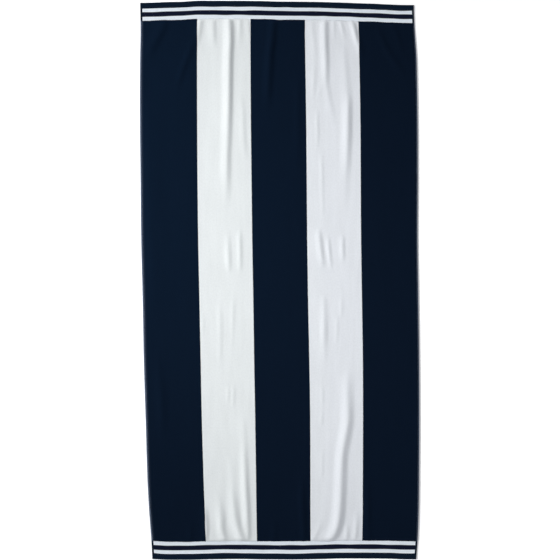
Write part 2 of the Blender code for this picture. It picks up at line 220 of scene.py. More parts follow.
# Each fold: how wide its left and right flanks are, then its crest as x, y and height.
FOLDS = (
    # Left white stripe, head end: the long fold, the crease beside it and the puckers.
    (
        25, 17,
        (
            (-147, 750, 4.3), (-145, 730, 4.7), (-144, 712, 5.0), (-144, 680, 5.0), (-146, 640, 5.0),
            (-147, 570, 4.9), (-148, 500, 4.7), (-149, 457, 4.3), (-150, 415, 3.7), (-152, 370, 3.3),
            (-153, 330, 3.0), (-153, 300, 2.4), (-153, 270, 1.4), (-152, 235, 0.6), (-151, 205, 0),
        ),
    ),
    (
        18, 13,
        (
            (-114, 540, 0), (-113, 515, 0.6), (-108, 486, 1.0), (-106, 440, 1.2), (-104, 400, 1.2),
            (-101, 371, 0.9), (-97, 340, 0),
        ),
    ),
    (14, 15, ((-228, 750, 2.2), (-231, 725, 2.4), (-235, 703, 2.2), (-240, 682, 1.0), (-243, 662, 0))),
    (26, 13, ((-193, 750, 1.7), (-192, 725, 2.0), (-191, 703, 1.8), (-190, 682, 1.0), (-189, 662, 0))),
    (8, 13, ((-116, 750, 1.4), (-116, 728, 1.5), (-116, 705, 1.0), (-117, 680, 0.3), (-117, 655, 0))),
    (8, 10, ((-93, 750, 0.9), (-92, 725, 0.9), (-90, 700, 0.5), (-89, 680, 0))),
    # Right white stripe, head end: the forked fold, its puckers and the corner fold.
    (
        19, 15,
        (
            (128, 750, 3.0), (128, 726, 3.4), (128, 700, 3.6), (129, 668, 3.5), (131, 629, 3.1),
            (131, 600, 2.7), (131, 572, 1.8), (135, 545, 1.2), (141, 510, 1.0), (149, 480, 0.8),
            (156, 427, 0),
        ),
    ),
    (
        12, 13,
        (
            (89, 750, 0.6), (92, 715, 0.7), (96, 690, 0.8), (98, 660, 0.7), (98, 630, 0.5),
            (97, 580, 0.9), (95, 545, 0.7), (93, 510, 0),
        ),
    ),
    (9, 9, ((126, 565, 0), (116, 545, 0.5), (104, 512, 0))),
    (8, 9, ((154, 750, 0.9), (154, 728, 0.9), (155, 705, 0.5), (155, 690, 0))),
    (8, 9, ((171, 748, 0.8), (175, 730, 1.2), (180, 712, 1.2), (185, 695, 0.5), (188, 682, 0))),
    (
        15, 11,
        (
            (203, 750, 1.6), (206, 738, 2.3), (210, 727, 3.1), (213, 715, 3.7), (216, 703, 3.9),
            (219, 692, 3.6), (225, 676, 2.8), (231, 658, 1.8), (238, 640, 0),
        ),
    ),
    # Right white stripe, below: the long fold and two creases beside it.
    (
        25, 18,
        (
            (180, 680, 0), (182, 655, 0.8), (184, 629, 1.2), (189, 572, 1.2), (191, 543, 1.5),
            (194, 514, 2.7), (194, 486, 3.6), (194, 440, 3.7), (193, 400, 3.2), (192, 371, 2.7),
            (191, 342, 2.2), (189, 314, 1.4), (188, 285, 0.7), (185, 235, 0.3), (184, 200, 0),
        ),
    ),
    (9, 9, ((106, 490, 0), (106, 465, 0.9), (107, 430, 0.9), (107, 400, 0.5), (107, 375, 0))),
    (
        10, 9,
        ((119, 370, 0), (119, 340, 0.7), (120, 290, 0.8), (121, 240, 0.7), (122, 205, 0.5), (122, 180, 0)),
    ),
    # Dark stripes, head end.
    (
        30, 17,
        (
            (-325, 750, 2.4), (-333, 732, 2.8), (-342, 708, 3.0), (-353, 690, 2.9), (-363, 673, 2.5),
            (-371, 652, 1.5), (-377, 630, 0),
        ),
    ),
    (
        14, 14,
        (
            (-246, 702, 0), (-252, 680, 1.4), (-259, 657, 2.3), (-269, 630, 2.6), (-278, 608, 2.5),
            (-285, 586, 2.1), (-293, 560, 1.0), (-299, 535, 0),
        ),
    ),
    (
        18, 17,
        (
            (-17, 750, 3.4), (-20, 732, 4.0), (-22, 715, 4.4), (-24, 686, 4.7), (-28, 658, 4.8),
            (-30, 629, 4.5), (-32, 586, 3.9), (-34, 545, 3.0), (-35, 518, 1.3), (-36, 490, 0),
        ),
    ),
    (10, 10, ((52, 585, 0), (51, 555, 0.8), (50, 500, 1.2), (50, 430, 1.1), (49, 360, 0.8), (48, 300, 0))),
    (8, 11, ((316, 750, 1.0), (323, 728, 1.6), (334, 701, 1.6), (344, 672, 1.2), (352, 645, 0))),
    (
        16, 12,
        ((279, 725, 0), (288, 701, 1.6), (301, 672, 2.2), (317, 643, 2.2), (339, 614, 2.0), (355, 590, 0)),
    ),
    # Left edge: the pile stands up from its hem, and swells once more lower down.
    (
        26, 70,
        (
            (-376, 520, 0), (-375, 440, 1.1), (-373, 300, 1.8), (-370, 160, 2.0), (-366, 50, 1.9),
            (-362, -60, 1.2), (-358, -160, 0),
        ),
    ),
    (
        26, 24,
        (
            (-352, -190, 0), (-347, -260, 1.4), (-342, -320, 2.4), (-339, -370, 2.4), (-338, -420, 1.4),
            (-340, -470, 0),
        ),
    ),
    # Right edge: the hem curls up a little from the board.
    (
        12, 10,
        (
            (384, 720, 0), (390, 640, 0.6), (395, 450, 0.8), (395, 100, 0.7), (399, -230, 0.8),
            (400, -400, 0.9), (398, -620, 0.9), (393, -750, 0.6),
        ),
    ),
    # Mid length: short creases where the cloth was folded in store.
    (
        17, 12,
        (
            (-149, 142, 0), (-149, 112, 0.9), (-148, 80, 1.5), (-147, 55, 1.6), (-146, 35, 1.0),
            (-146, 20, 0),
        ),
    ),
    (13, 11, ((-116, 145, 0), (-116, 120, 1.3), (-115, 70, 1.4), (-115, 40, 0.9), (-115, 22, 0))),
    (
        18, 11,
        ((109, 147, 0), (112, 127, 1.6), (115, 102, 2.0), (118, 78, 2.0), (121, 58, 1.5), (125, 36, 0)),
    ),
    (9, 9, ((137, 125, 0), (138, 108, 1.3), (141, 78, 1.5), (145, 45, 0.8), (147, 30, 0))),
    (14, 9, ((179, 128, 0), (179, 108, 1.3), (180, 75, 1.2), (180, 50, 0))),
    (
        17, 16,
        (
            (124, -38, 0), (125, -58, 0.9), (126, -85, 1.3), (126, -125, 1.7), (126, -152, 1.9),
            (126, -180, 1.2), (127, -205, 0.7), (127, -245, 0),
        ),
    ),
    (9, 9, ((175, -48, 0), (176, -68, 0.7), (176, -95, 0.6), (176, -115, 0))),
    (9, 9, ((163, -98, 0), (163, -120, 0.6), (162, -160, 0.6), (161, -185, 0))),
    (14, 11, ((-172, -62, 0), (-172, -100, 0.6), (-171, -160, 0.7), (-171, -205, 0.6), (-171, -240, 0))),
    (12, 9, ((-135, -52, 0), (-135, -85, 0.6), (-136, -130, 0.6), (-137, -190, 0.3), (-137, -225, 0))),
    (10, 10, ((-221, -95, 0), (-221, -115, 0.6), (-221, -140, 0.6), (-221, -160, 0))),
    (9, 9, ((-134, -298, 0), (-134, -318, 0.7), (-134, -345, 0.6), (-133, -365, 0))),
    (8, 8, ((-149, -302, 0), (-149, -318, 0.6), (-149, -338, 0.5), (-149, -352, 0))),
    (9, 9, ((120, -295, 0), (120, -318, 0.6), (121, -345, 0.7), (120, -368, 0))),
    (9, 8, ((122, -372, 0), (120, -392, 0.7), (118, -410, 0.5), (118, -425, 0))),
    (10, 9, ((121, -470, 0), (121, -500, 0.5), (120, -540, 0.6), (120, -580, 0))),
    # Right white stripe, foot end: the winding fold and the puckers round it.
    (
        27, 23,
        (
            (191, -255, 0), (192, -274, 0.6), (192, -300, 1.5), (193, -345, 2.6), (194, -375, 3.5),
            (194, -405, 3.9), (190, -432, 4.1), (185, -460, 4.1), (180, -489, 4.1), (177, -517, 4.2),
            (175, -560, 4.3), (174, -600, 4.5), (172, -640, 4.7), (169, -675, 4.9), (165, -701, 5.0),
            (157, -722, 4.9), (148, -737, 4.1), (138, -750, 2.8),
        ),
    ),
    (13, 12, ((218, -665, 0), (219, -690, 1.0), (218, -712, 1.5), (216, -730, 1.4), (213, -750, 1.3))),
    (10, 13, ((190, -695, 0), (191, -712, 1.0), (191, -724, 1.5), (190, -737, 1.4), (188, -750, 1.3))),
    (
        11, 13,
        (
            (121, -688, 0), (114, -704, 0.7), (108, -717, 1.0), (102, -729, 1.1), (97, -740, 1.1),
            (93, -750, 1.0),
        ),
    ),
    (7, 8, ((119, -728, 0), (117, -740, 0.6), (115, -750, 0.6))),
    # Left white stripe, foot end: the fan of four.
    (
        20, 15,
        (
            (-106, -385, 0), (-105, -417, 0.6), (-104, -446, 0.8), (-102, -475, 1.1), (-102, -503, 1.9),
            (-101, -532, 2.5), (-100, -560, 2.8), (-99, -590, 3.1), (-97, -625, 3.3), (-95, -665, 3.3),
            (-94, -700, 3.1), (-93, -720, 2.7), (-93, -750, 2.2),
        ),
    ),
    (
        24, 19,
        (
            (-138, -510, 0), (-137, -540, 0.4), (-136, -580, 0.7), (-136, -610, 1.5), (-134, -634, 2.3),
            (-132, -655, 2.9), (-129, -680, 3.4), (-126, -695, 3.8), (-122, -710, 4.0), (-117, -722, 4.0),
            (-112, -736, 3.8), (-108, -750, 3.3),
        ),
    ),
    (
        23, 18,
        (
            (-179, -595, 0), (-177, -625, 0.6), (-174, -646, 1.3), (-172, -661, 2.0), (-170, -675, 2.6),
            (-169, -689, 3.2), (-169, -704, 3.6), (-167, -718, 3.4), (-163, -731, 3.0), (-157, -750, 2.6),
        ),
    ),
    (
        14, 14,
        (
            (-216, -645, 0), (-216, -662, 1.7), (-215, -682, 2.9), (-213, -697, 3.5), (-212, -712, 3.2),
            (-213, -726, 2.8), (-216, -750, 2.1),
        ),
    ),
    # Dark stripes, foot end.
    (
        16, 14,
        (
            (63, -555, 0), (63, -585, 1.3), (63, -615, 2.4), (64, -650, 2.7), (67, -700, 2.5),
            (70, -750, 1.9),
        ),
    ),
    (13, 12, ((-16, -680, 0), (-16, -703, 0.8), (-16, -725, 1.3), (-17, -750, 1.1))),
    (14, 14, ((-255, -685, 0), (-256, -710, 1.1), (-257, -735, 1.6), (-258, -750, 1.5))),
    (11, 12, ((250, -565, 0), (250, -600, 1.2), (251, -650, 1.7), (252, -700, 1.6), (255, -750, 1.1))),
)

# How a fold is shaped: the cuts between two points of its crest, how far past the border it takes to
# rise, the bend of its flanks, and the share and the reach of the slow rise on its left.
CREST_CUTS = 4
FOLD_RISE = 9
FLANK_BEND = 0.8
SLOW_SHARE = 0.25
SLOW_REACH = 3

# Over the borders: how far each fold pushes the edge of the pile out, and how far the bands waver.
BULGE = 0.35
BULGE_START = 5
BULGE_PEAK = 1
BULGE_REACH = 20
WAVER = 1.0
WAVER_ACROSS = 42
WAVER_ALONG = 12
WAVER_PLANE = 8.5
WAVER_START = 2
WAVER_FULL = 9

# How thick the cloth is, how far in its edges are rounded, and how far its seams draw it down.
PILE_THICK = 3.0
BAND_THICK = 1.9
END_HEM_THICK = 2.7
SIDE_HEM_THICK = 2.4
HEM_ROUND = 1.6
PILE_ROUND = 3.2
THIN_EDGE = 0.02
STEP_REACH = 0.6
END_SEAM = 13.2
SIDE_SEAM = 3.6
SEAM_WIDTH = 1.3
SEAM_DEPTH = 0.45

# The pile's own slow swell, and the share of a quicker one in it.
SWELL = 0.12
SWELL_ACROSS = 34
SWELL_ALONG = 260
SWELL_PLANE = 0.5
DENT_SHARE = 0.4
DENT_ACROSS = 13
DENT_ALONG = 60
DENT_PLANE = 4.5
SWELL_START = 12


def ease(low, high, value):
    """0 below low, 1 above high, with a soft start and end."""
    part = np.clip((value - low) / (high - low), 0, 1)
    return part * part * (3 - 2 * part)


def read(keys, values, at):
    """Heights on the smooth curve through rising keys and their values."""
    keys, values = np.asarray(keys, float), np.asarray(values, float)
    span = np.clip(np.searchsorted(keys, at, side="right") - 1, 0, len(keys) - 2)
    order = np.arange(len(keys))
    before, after = np.maximum(order - 1, 0), np.minimum(order + 1, len(keys) - 1)
    slopes = (values[after] - values[before]) / (keys[after] - keys[before])
    width = keys[span + 1] - keys[span]
    part = (at - keys[span]) / width
    rest = 1 - part
    return (
        values[span] * rest * rest * (1 + 2 * part)
        + values[span + 1] * part * part * (1 + 2 * rest)
        + width * part * rest * (slopes[span] * rest - slopes[span + 1] * part)
    )


def from_end(along):
    """How far a place along the cloth is from the nearer end."""
    return np.minimum(along, CUT_LENGTH - along)


def from_side(across):
    """How far a place across the cloth is from the nearer side."""
    return np.minimum(across, CUT_WIDTH - across)


def laid(across, along):
    """Where points of the straight cloth come to lie, as x and y."""
    marks, feet, heads = zip(*ENDS)
    foot, head = read(marks, feet, across), read(marks, heads, across)
    y = foot + (head - foot) * along / CUT_LENGTH
    levels, *edges = zip(*SECTIONS)
    lines = np.array([read(levels, edge, y) for edge in edges])
    stripe = np.clip(np.searchsorted(LINES, across, side="right") - 1, 0, STRIPES - 1)
    near = np.take_along_axis(lines, stripe[None], 0)[0]
    far = np.take_along_axis(lines, stripe[None] + 1, 0)[0]
    starts = np.array(LINES, float)
    part = (across - starts[stripe]) / (starts[stripe + 1] - starts[stripe])
    return near + (far - near) * part, y


def fold_height(left, right, crest, x, y):
    """How high one fold lifts the cloth: a round crest, a quick fall and, on its left, a slow rise too."""
    places = np.arange(len(crest))
    fine = np.linspace(0, len(crest) - 1, CREST_CUTS * (len(crest) - 1) + 1)
    points = np.array([read(places, [point[part] for point in crest], fine) for part in range(3)]).T
    reach = max(left * SLOW_REACH, right)
    near = (abs(x - np.clip(x, points[:, 0].min(), points[:, 0].max())) < reach) & (
        abs(y - np.clip(y, points[:, 1].min(), points[:, 1].max())) < reach
    )
    px, py = x[near], y[near]
    best = np.full(px.shape, np.inf)
    height, side = np.zeros(px.shape), np.zeros(px.shape)
    for (x0, y0, h0), (x1, y1, h1) in zip(points, points[1:]):
        dx, dy = x1 - x0, y1 - y0
        part = np.clip(((px - x0) * dx + (py - y0) * dy) / (dx * dx + dy * dy), 0, 1)
        away_x, away_y = px - x0 - part * dx, py - y0 - part * dy
        distance = np.hypot(away_x, away_y)
        closer = distance < best
        best = np.where(closer, distance, best)
        height = np.where(closer, h0 + (h1 - h0) * part, height)
        side = np.where(closer, away_x, side)
    quick = np.cos(pi / 2 * np.minimum(best / np.where(side < 0, left, right), 1) ** FLANK_BEND) ** 2
    slow = np.cos(pi / 2 * np.minimum(best / (left * SLOW_REACH), 1)) ** 2
    lifted = np.zeros(x.shape)
    lifted[near] = np.maximum(height, 0) * np.where(side < 0, quick + SLOW_SHARE * (slow - quick), quick)
    return lifted


def underside(across, along):
    """The cloth's underside: its folds, pushed out a little over the borders, whose bands waver."""
    x, y = laid(across, along)
    folds = sum(fold_height(*fold, x, y) for fold in FOLDS)
    end = from_end(along)
    outward = np.where(along < CUT_LENGTH / 2, -1, 1)
    peak = BORDER + BULGE_PEAK
    near_border = ease(BORDER - BULGE_START, peak, end) * (1 - ease(peak, BORDER + BULGE_REACH, end))
    waver = [
        noise.noise((a / WAVER_ACROSS, b / WAVER_ALONG, WAVER_PLANE))
        for a, b in zip(across.ravel(), along.ravel())
    ]
    in_bands = ease(WAVER_START, WAVER_FULL, end) * (1 - ease(BORDER, BORDER + BULGE_REACH, end))
    y = y + outward * BULGE * folds * near_border + WAVER * np.reshape(waver, across.shape) * in_bands
    return x, y, folds * ease(BORDER, BORDER + FOLD_RISE, end)


def thickness(across, along):
    """How thick the cloth is: hems with a rolled edge and a sewn groove, flat bands, and raised pile."""
    end, side = from_end(along), from_side(across)
    edge = np.minimum(end, side)
    rolled = np.sqrt(1 - (1 - np.clip(edge / HEM_ROUND, THIN_EDGE, 1)) ** 2)
    hem = np.where(end < END_HEM, END_HEM_THICK, SIDE_HEM_THICK) * rolled
    seam = np.minimum(abs(end - END_SEAM), np.where(end > END_SEAM, abs(side - SIDE_SEAM), np.inf))
    hem = hem - SEAM_DEPTH * (1 - ease(0, SEAM_WIDTH, seam))
    pile_edge = np.minimum(end - BORDER, side - SIDE_HEM)
    rounded = np.sqrt(1 - (1 - np.clip(pile_edge / PILE_ROUND, 0, 1)) ** 2)
    pile = BAND_THICK + (PILE_THICK - BAND_THICK) * rounded
    off_end_hem = ease(END_HEM - STEP_REACH, END_HEM + STEP_REACH, end)
    off_side_hem = ease(SIDE_HEM - STEP_REACH, SIDE_HEM + STEP_REACH, side)
    in_hem = np.maximum(1 - off_end_hem, 1 - off_side_hem)
    return hem * in_hem + pile * (1 - in_hem)


def swell(across, along):
    """The pile's own slow rise and fall, drawn out along the towel."""
    flat = [
        noise.noise((a / SWELL_ACROSS, b / SWELL_ALONG, SWELL_PLANE))
        + DENT_SHARE * noise.noise((a / DENT_ACROSS, b / DENT_ALONG, DENT_PLANE))
        for a, b in zip(across.ravel(), along.ravel())
    ]
    inside = ease(0, SWELL_START, np.minimum(from_end(along) - BORDER, from_side(across) - SIDE_HEM))
    return SWELL * np.reshape(flat, across.shape) * inside


def graded(start, end, widest):
    """Even places from start up to end, without end."""
    count = int(np.ceil((end - start) / widest))
    return list(np.linspace(start, end, count, endpoint=False))


# The lines of the mesh lie close at the rolled edge, the seams, the hems and the edge of the pile, and
# wider where the cloth is plain. The white stripes show their folds most, so their faces are narrow.
EDGE_STEPS = (0, 0.3, 0.8, 1.6)
SIDE_SEAM_STEPS = (-1, -0.5, 0, 0.5, 1)
SIDE_PILE_STEPS = (0, 0.4, 1, 2, 3.6, 6)
HEM_PLACES = (4, 8)
END_SEAM_STEPS = (-1.0, -0.4, 0, 0.4, 1.2)
END_HEM_STEPS = (-STEP_REACH, 0, STEP_REACH)
END_PILE_STEPS = (-0.7, 0, 0.5, 1.3, 2.5, 4.1, 6.3, 9.1, 12.5, 16.5, 20.7)
BAND_FACE = 6
DARK_FACE = 6.4
WHITE_FACE = 3.6
LONG_FACE = 7.2

side_places = [*EDGE_STEPS, *(SIDE_SEAM + step for step in SIDE_SEAM_STEPS)]
side_places += [SIDE_HEM + step for step in SIDE_PILE_STEPS]
columns = side_places + graded(side_places[-1], LINES[1], DARK_FACE)[1:]
for stripe in range(1, STRIPES - 1):
    columns += graded(LINES[stripe], LINES[stripe + 1], WHITE_FACE if stripe % 2 else DARK_FACE)
columns += graded(LINES[-2], CUT_WIDTH - side_places[-1], DARK_FACE)
columns += [CUT_WIDTH - place for place in reversed(side_places)]

end_places = [*EDGE_STEPS, *HEM_PLACES, *(END_SEAM + step for step in END_SEAM_STEPS)]
end_places += [END_HEM + step for step in END_HEM_STEPS]
end_places += graded(end_places[-1], BORDER + END_PILE_STEPS[0], BAND_FACE)[1:]
end_places += [BORDER + step for step in END_PILE_STEPS]
rows = end_places + graded(end_places[-1], CUT_LENGTH - end_places[-1], LONG_FACE)[1:]
rows += [CUT_LENGTH - place for place in reversed(end_places)]
across, along = np.meshgrid(np.array(columns, float), np.array(rows, float))
points = np.stack(underside(across, along), -1).reshape(-1, 3) * MM

corners = np.arange(len(points)).reshape(across.shape)
faces = [corners[:-1, :-1], corners[:-1, 1:], corners[1:, 1:], corners[1:, :-1]]
faces = np.stack(faces, -1).reshape(-1, 4)
cloth_mesh = bpy.data.meshes.new("towel_cloth")
cloth_mesh.from_pydata(points.tolist(), [], faces.tolist())
cloth_map = cloth_mesh.uv_layers.new(name="cloth")
flat_places = np.stack([across, along], -1).reshape(-1, 2) * MM
cloth_map.data.foreach_set("uv", flat_places[faces.ravel()].ravel())
cloth = bpy.data.objects.new("towel_cloth", cloth_mesh)
scene.collection.objects.link(cloth)

above = (thickness(across, along) + swell(across, along)).ravel()
most = float(above.max())
group = cloth.vertex_groups.new(name="thickness")
for index, thick in enumerate(above):
    group.add([index], thick / most, "REPLACE")
solidify = cloth.modifiers.new("cloth thickness", "SOLIDIFY")
solidify.thickness = most * MM
solidify.offset = 1
solidify.vertex_group = group.name
bpy.ops.object.select_all(action="DESELECT")
cloth.select_set(True)
bpy.context.view_layer.objects.active = cloth
bpy.ops.object.modifier_apply(modifier=solidify.name)

# Cotton velour: loops sheared to a soft even nap, which takes the light with no gloss and only a faint
# cool sheen. Dyed and bleached warps change places within a tuft or two of each line, and the dye takes
# unevenly from tuft to tuft. The navy is painted lighter towards the left of the head, where the lamp
# stands, the white is painted a little darker and cooler towards the right, away from it, and a painted
# highlight lightens the pile just inside the left hem, where its rolled edge catches the lamp.
NAVY_PILE = "#091423"
# The navy painted lighter towards the lamp: painted light.
LIT_NAVY = "#0A1829"
WHITE_PILE = "#DEE2E2"
# The white painted a little darker and cooler away from the lamp: painted shade.
SHADE_SIDE_WHITE = "#DCDFE3"
FIBRE_SHEEN = "#AEBAD4"

# Where the navy is painted lighter and the white painted cooler, in metres across and along, and how far
# in from the left side, in millimetres, the painted highlight of the left hem reaches.
LIT_NAVY_ACROSS = (0.05, 0.7)
LIT_NAVY_ALONG = (0.2, 0.9)
LIT_NAVY_LEAST = 0.2
SHADE_SIDE_ACROSS = (0.3, 0.55)
# The side hems' grey: partly their own colour, partly a painted highlight of the rolled edge.
SIDE_GREY_AND_HIGHLIGHT = "#5A6577"
LEFT_HIGHLIGHT_REACH = 11
LEFT_HIGHLIGHT_SHARE = 0.12

# The nap. Its tufts are drawn 1.3 mm apart, coarser than the real ones, so that they show. The dyed ones
# lean over the bleached ones at a line, and hide a little of them.
TUFT = 1.3 * MM
NAP_DEPTH = 0.25 * MM
PILE_FUZZ = 1.2 * MM
LINE_COVER = 0.7 * MM

# Light and dark spots: how many to a metre across and along, and how deep.
DYE_DEPTH = 0.3
COMBED = (60, 9)
COMBED_DEPTH = 0.02
RUFFLED = (260, 190)
RUFFLED_DEPTH = 0.03
NOISE_RANGE = (0.25, 0.75)
cotton_nap = {
    "Roughness": 1.0, "Specular_IOR_Level": 0.02,
    "Sheen_Weight": 0.22, "Sheen_Roughness": 0.3, "Sheen_Tint": linear(FIBRE_SHEEN),
}
pile, tree, shader = new_material("cut cotton pile", **cotton_nap)


def product(tree, first, second):
    """The product of two sockets."""
    return add_node(tree, "ShaderNodeMath", links={0: first, 1: second}, operation="MULTIPLY").outputs[0]


def stripe_share(tree, place, fuzz):
    """How white the warp is at a place: 0 on the outer and middle stripes, 1 on the two between."""
    parts = add_node(tree, "ShaderNodeSeparateXYZ", links={0: place})
    ragged = add_node(
        tree, "ShaderNodeTexNoise", {"Scale": 1 / TUFT, "Detail": 1.0}, {"Vector": place},
        noise_dimensions="2D",
    )
    moved = add_node(
        tree, "ShaderNodeMath", {1: fuzz, 2: -(CUT_WIDTH * MM + fuzz) / 2}, {0: ragged.outputs["Fac"]},
        operation="MULTIPLY_ADD",
    )
    off_middle = add_node(
        tree, "ShaderNodeMath", links={0: parts.outputs["X"], 1: moved.outputs[0]}, operation="ADD"
    )
    size = add_node(tree, "ShaderNodeMath", links={0: off_middle.outputs[0]}, operation="ABSOLUTE")
    distance = size.outputs[0]
    near = INNER_STRIPE / 2 * MM + LINE_COVER
    far = near + INNER_STRIPE * MM - 2 * LINE_COVER
    return product(
        tree,
        ramp(tree, distance, near - fuzz / 2, near + fuzz / 2),
        ramp(tree, distance, far - fuzz / 2, far + fuzz / 2, 1.0, 0.0),
    )


def shaded(tree, colour, place, spots_to_metre, depth):
    """The colour made lighter and darker in spots, so many to a metre across and along the cloth."""
    moved = add_node(tree, "ShaderNodeMapping", {"Scale": (*spots_to_metre, 1)}, {"Vector": place})
    spots = add_node(
        tree, "ShaderNodeTexNoise", {"Scale": 1.0, "Detail": 2.0}, {"Vector": moved.outputs[0]},
        noise_dimensions="2D",
    )
    amount = ramp(tree, spots.outputs["Fac"], *NOISE_RANGE, 1 - depth, 1 + depth)
    lit = add_node(tree, "ShaderNodeVectorMath", links={0: colour, 1: amount}, operation="MULTIPLY")
    return lit.outputs[0]


def mixed(tree, share, low, high):
    """From one colour to another by a share from 0 to 1. Each is a value or a socket."""
    made = add_node(tree, "ShaderNodeMix", links={0: share}, data_type="RGBA")
    ends = [socket for socket in made.inputs if socket.type == "RGBA"]
    for socket, colour in zip(ends, (low, high)):
        if isinstance(colour, bpy.types.NodeSocket):
            tree.links.new(colour, socket)
        else:
            socket.default_value = colour
    return next(socket for socket in made.outputs if socket.type == "RGBA")


def striped(tree, place, fuzz):
    """The stripes, with painted light: navy lighter near the lamp, white cooler away, a highlight by the
    left hem.
    """
    parts = add_node(tree, "ShaderNodeSeparateXYZ", links={0: place})
    # Painted light: the navy lighter towards the left of the head, where the lamp stands.
    lamp_side_share = product(
        tree,
        ramp(tree, parts.outputs["X"], *LIT_NAVY_ACROSS, 1.0, 0.0),
        ramp(tree, parts.outputs["Y"], *LIT_NAVY_ALONG, LIT_NAVY_LEAST, 1.0),
    )
    navy = mixed(tree, lamp_side_share, linear(NAVY_PILE), linear(LIT_NAVY))
    # Painted highlight: the pile lightened just inside the left hem, where its rolled edge catches the
    # lamp.
    left_highlight = ramp(tree, parts.outputs["X"], SIDE_HEM * MM, LEFT_HIGHLIGHT_REACH * MM, LEFT_HIGHLIGHT_SHARE, 0.0)
    navy = mixed(tree, left_highlight, navy, linear(SIDE_GREY_AND_HIGHLIGHT))
    navy = shaded(tree, navy, place, (1 / TUFT, 1 / TUFT), DYE_DEPTH)
    # Painted shade: the white a little darker and cooler towards the right, away from the lamp.
    cool = ramp(tree, parts.outputs["X"], *SHADE_SIDE_ACROSS)
    white = mixed(tree, cool, linear(WHITE_PILE), linear(SHADE_SIDE_WHITE))
    return mixed(tree, stripe_share(tree, place, fuzz), navy, white)


cloth_place = add_node(tree, "ShaderNodeUVMap", uv_map="cloth").outputs[0]
colour = striped(tree, cloth_place, PILE_FUZZ)
colour = shaded(tree, colour, cloth_place, COMBED, COMBED_DEPTH)
colour = shaded(tree, colour, cloth_place, RUFFLED, RUFFLED_DEPTH)
tree.links.new(colour, shader.inputs["Base Color"])
nap = add_node(
    tree, "ShaderNodeTexNoise", {"Scale": 1 / TUFT, "Detail": 3.0, "Roughness": 0.6},
    {"Vector": cloth_place}, noise_dimensions="2D",
)
relief = add_node(
    tree, "ShaderNodeBump", {"Strength": 0.6, "Distance": NAP_DEPTH}, {"Height": nap.outputs["Fac"]}
)
tree.links.new(relief.outputs[0], shader.inputs["Normal"])

# Terry loops: the uncut back of the same cloth, in the same stripes. Each loop of cotton yarn is round
# and throws its own small shade, so the back looks pebbled, and its stripes meet in a rougher line. The
# loops are drawn 3 mm apart, coarser than the real ones, so that they show.
LOOP = 3 * MM
LOOP_DEPTH = 0.8 * MM
LOOP_FUZZ = 3 * MM
LOOP_SPOTS = (300, 300)
LOOP_SHADE = 0.12
loops, tree, shader = new_material("looped cotton pile", **cotton_nap)
cloth_place = add_node(tree, "ShaderNodeUVMap", uv_map="cloth").outputs[0]
colour = striped(tree, cloth_place, LOOP_FUZZ)
colour = shaded(tree, colour, cloth_place, LOOP_SPOTS, LOOP_SHADE)
tree.links.new(colour, shader.inputs["Base Color"])
rings = add_node(
    tree, "ShaderNodeTexVoronoi", {"Scale": 1 / LOOP, "Randomness": 0.7}, {"Vector": cloth_place},
    voronoi_dimensions="2D",
)
relief = add_node(
    tree, "ShaderNodeBump", {"Strength": 0.8, "Distance": LOOP_DEPTH},
    {"Height": rings.outputs["Distance"]}, invert=True,
)
tree.links.new(relief.outputs[0], shader.inputs["Normal"])

# The flat border: cotton woven with no pile, its bleached and dyed weft beaten up in close ribs across
# the towel. It lies smooth and firm, so its bands are cleaner and a little brighter than the pile. The
# ribs are drawn 1.6 mm apart, coarser than the real ones, so that they show.
NAVY_WEAVE = "#0F1527"
WHITE_WEAVE = "#E4EBF1"
RIB = 1.6 * MM
RIB_DEPTH = 0.14 * MM
BAND_FUZZ = 0.5 * MM
WEAVE_SPOTS = (220, 500)
WEAVE_SHADE = 0.05
border, tree, shader = new_material("ribbed cotton border", Roughness=0.9, Specular_IOR_Level=0.04)


def end_distance(tree, place):
    """How far a place is from the nearer hemmed end, in metres."""
    parts = add_node(tree, "ShaderNodeSeparateXYZ", links={0: place})
    other = add_node(
        tree, "ShaderNodeMath", {0: CUT_LENGTH * MM}, {1: parts.outputs["Y"]}, operation="SUBTRACT"
    )
    nearer = add_node(
        tree, "ShaderNodeMath", links={0: parts.outputs["Y"], 1: other.outputs[0]}, operation="MINIMUM"
    )
    return nearer.outputs[0]


cloth_place = add_node(tree, "ShaderNodeUVMap", uv_map="cloth").outputs[0]
from_hem = end_distance(tree, cloth_place)
off_middle = add_node(
    tree, "ShaderNodeMath", {1: -(END_HEM + OUTER_BAND + MIDDLE_BAND / 2) * MM}, {0: from_hem},
    operation="ADD",
)
distance = add_node(tree, "ShaderNodeMath", links={0: off_middle.outputs[0]}, operation="ABSOLUTE")
band_edge = MIDDLE_BAND / 2 * MM
white = ramp(tree, distance.outputs[0], band_edge - BAND_FUZZ / 2, band_edge + BAND_FUZZ / 2)
colour = mixed(tree, white, linear(NAVY_WEAVE), linear(WHITE_WEAVE))
colour = shaded(tree, colour, cloth_place, WEAVE_SPOTS, WEAVE_SHADE)
tree.links.new(colour, shader.inputs["Base Color"])
ribs = add_node(tree, "ShaderNodeMath", {1: 2 * pi / RIB}, {0: from_hem}, operation="MULTIPLY")
wave = add_node(tree, "ShaderNodeMath", links={0: ribs.outputs[0]}, operation="SINE")
relief = add_node(
    tree, "ShaderNodeBump", {"Strength": 0.7, "Distance": RIB_DEPTH}, {"Height": wave.outputs[0]}
)
tree.links.new(relief.outputs[0], shader.inputs["Normal"])

